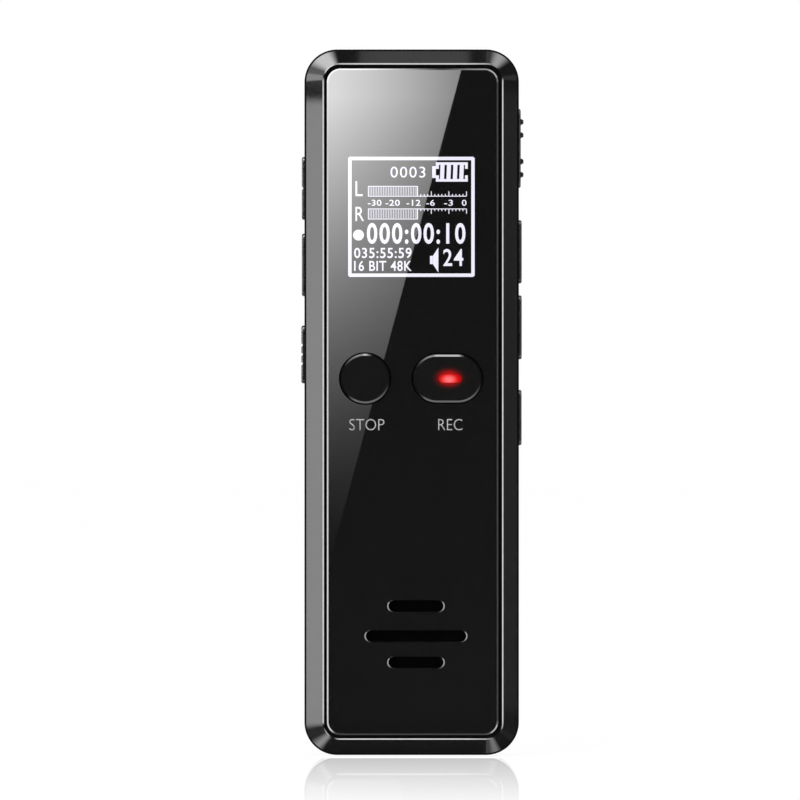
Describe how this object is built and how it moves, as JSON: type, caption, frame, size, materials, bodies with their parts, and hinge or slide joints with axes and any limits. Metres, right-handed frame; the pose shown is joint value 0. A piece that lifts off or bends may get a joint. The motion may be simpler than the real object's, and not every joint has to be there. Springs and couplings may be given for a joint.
{
  "type": "handheld voice recorder",
  "caption": "Slim pocket voice recorder with a bevelled frame, a glossy front with display, stop and record buttons, side keys, a slide switch and speaker slots.",
  "frame": {"origin": "middle of the bottom end that the recorder stands on", "axes": "+Z along the recorder towards its top end, +X to the right seen from the front, +Y towards the back"},
  "size_m": [0.0312, 0.0113, 0.0987],
  "materials": {
    "frame_gloss": "high gloss black paint",
    "cover_satin": "satin black",
    "panel_gloss": "mirror gloss black",
    "window_clear": "clear, gloss",
    "inner_black": "matt moulded",
    "inner_white": "matt moulded",
    "foam_black": "foam",
    "display_glass": "black display glass",
    "flex_amber": "polyimide film",
    "board_green": "solder mask",
    "chip_black": "moulded package",
    "lamp_red": "lamp body",
    "light_red": "red light guide",
    "cell_silver": "pouch foil",
    "cloth_black": "fine mesh",
    "diaphragm_film": "thin film",
    "magnet_steel": "plated",
    "socket_steel": "folded sheet",
    "screw_steel": "black zinc",
    "switch_metal": "tin plate",
    "plunger_white": "moulded",
    "boot_rubber": "soft rubber",
    "mic_brass": "plated can",
    "key_gloss": "gloss black",
    "button_satin": "satin black with a gloss edge"
  },
  "bodies": {
    "case": {"audio_chip": "chip_black", "battery_cell": "cell_silver", "battery_circuit": "board_green", "battery_tape": "foam_black", "case_screws": "screw_steel", "display_connector": "inner_white", "display_flex": "flex_amber", "display_gasket": "foam_black", "display_holder": "inner_white", "display_module": "display_glass", "display_window": "window_clear", "front_chassis": "inner_black", "front_frame": "frame_gloss", "front_panel": "panel_gloss", "headphone_jack": "inner_black", "left_lower_switch": "switch_metal", "left_mic_boot": "boot_rubber", "left_microphone": "mic_brass", "left_middle_switch": "switch_metal", "left_upper_switch": "switch_metal", "main_board": "board_green", "memory_chip": "chip_black", "processor_chip": "chip_black", "rear_cover": "cover_satin", "rec_lamp": "lamp_red", "rec_switch": "switch_metal", "right_lower_switch": "switch_metal", "right_mic_boot": "boot_rubber", "right_microphone": "mic_brass", "right_middle_switch": "switch_metal", "right_upper_switch": "switch_metal", "slide_switch": "switch_metal", "speaker_cloth": "cloth_black", "speaker_diaphragm": "diaphragm_film", "speaker_frame": "inner_black", "speaker_gasket": "foam_black", "speaker_magnet": "magnet_steel", "stop_switch": "switch_metal", "usb_socket": "socket_steel"},
    "stop": {"stop_button": "button_satin", "stop_plunger": "plunger_white"},
    "record": {"rec_button": "button_satin", "rec_light_guide": "light_red", "rec_plunger": "plunger_white"},
    "slide": {"slide_knob": "key_gloss", "slide_lever": "plunger_white"},
    "left_upper": {"left_upper_key": "key_gloss", "left_upper_plunger": "plunger_white"},
    "left_middle": {"left_middle_key": "key_gloss", "left_middle_plunger": "plunger_white"},
    "left_lower": {"left_lower_key": "key_gloss", "left_lower_plunger": "plunger_white"},
    "right_upper": {"right_upper_key": "key_gloss", "right_upper_plunger": "plunger_white"},
    "right_middle": {"right_middle_key": "key_gloss", "right_middle_plunger": "plunger_white"},
    "right_lower": {"right_lower_key": "key_gloss", "right_lower_plunger": "plunger_white"}
  },
  "joints": [
    {"name": "stop_press", "type": "slide", "parent": "case", "child": "stop", "axis": [0, 1, 0], "range_m": [0, 0.0003], "stiffness_N_per_m": 600},
    {"name": "record_press", "type": "slide", "parent": "case", "child": "record", "axis": [0, 1, 0], "range_m": [0, 0.0003], "stiffness_N_per_m": 600},
    {"name": "slide_switch_travel", "type": "slide", "parent": "case", "child": "slide", "axis": [0, 0, 1], "range_m": [0, 0.002]},
    {"name": "left_upper_press", "type": "slide", "parent": "case", "child": "left_upper", "axis": [1, 0, 0], "range_m": [0, 0.0003], "stiffness_N_per_m": 600},
    {"name": "left_middle_press", "type": "slide", "parent": "case", "child": "left_middle", "axis": [1, 0, 0], "range_m": [0, 0.0003], "stiffness_N_per_m": 600},
    {"name": "left_lower_press", "type": "slide", "parent": "case", "child": "left_lower", "axis": [1, 0, 0], "range_m": [0, 0.0003], "stiffness_N_per_m": 600},
    {"name": "right_upper_press", "type": "slide", "parent": "case", "child": "right_upper", "axis": [-1, 0, 0], "range_m": [0, 0.0003], "stiffness_N_per_m": 600},
    {"name": "right_middle_press", "type": "slide", "parent": "case", "child": "right_middle", "axis": [-1, 0, 0], "range_m": [0, 0.0003], "stiffness_N_per_m": 600},
    {"name": "right_lower_press", "type": "slide", "parent": "case", "child": "right_lower", "axis": [-1, 0, 0], "range_m": [0, 0.0003], "stiffness_N_per_m": 600}
  ]
}
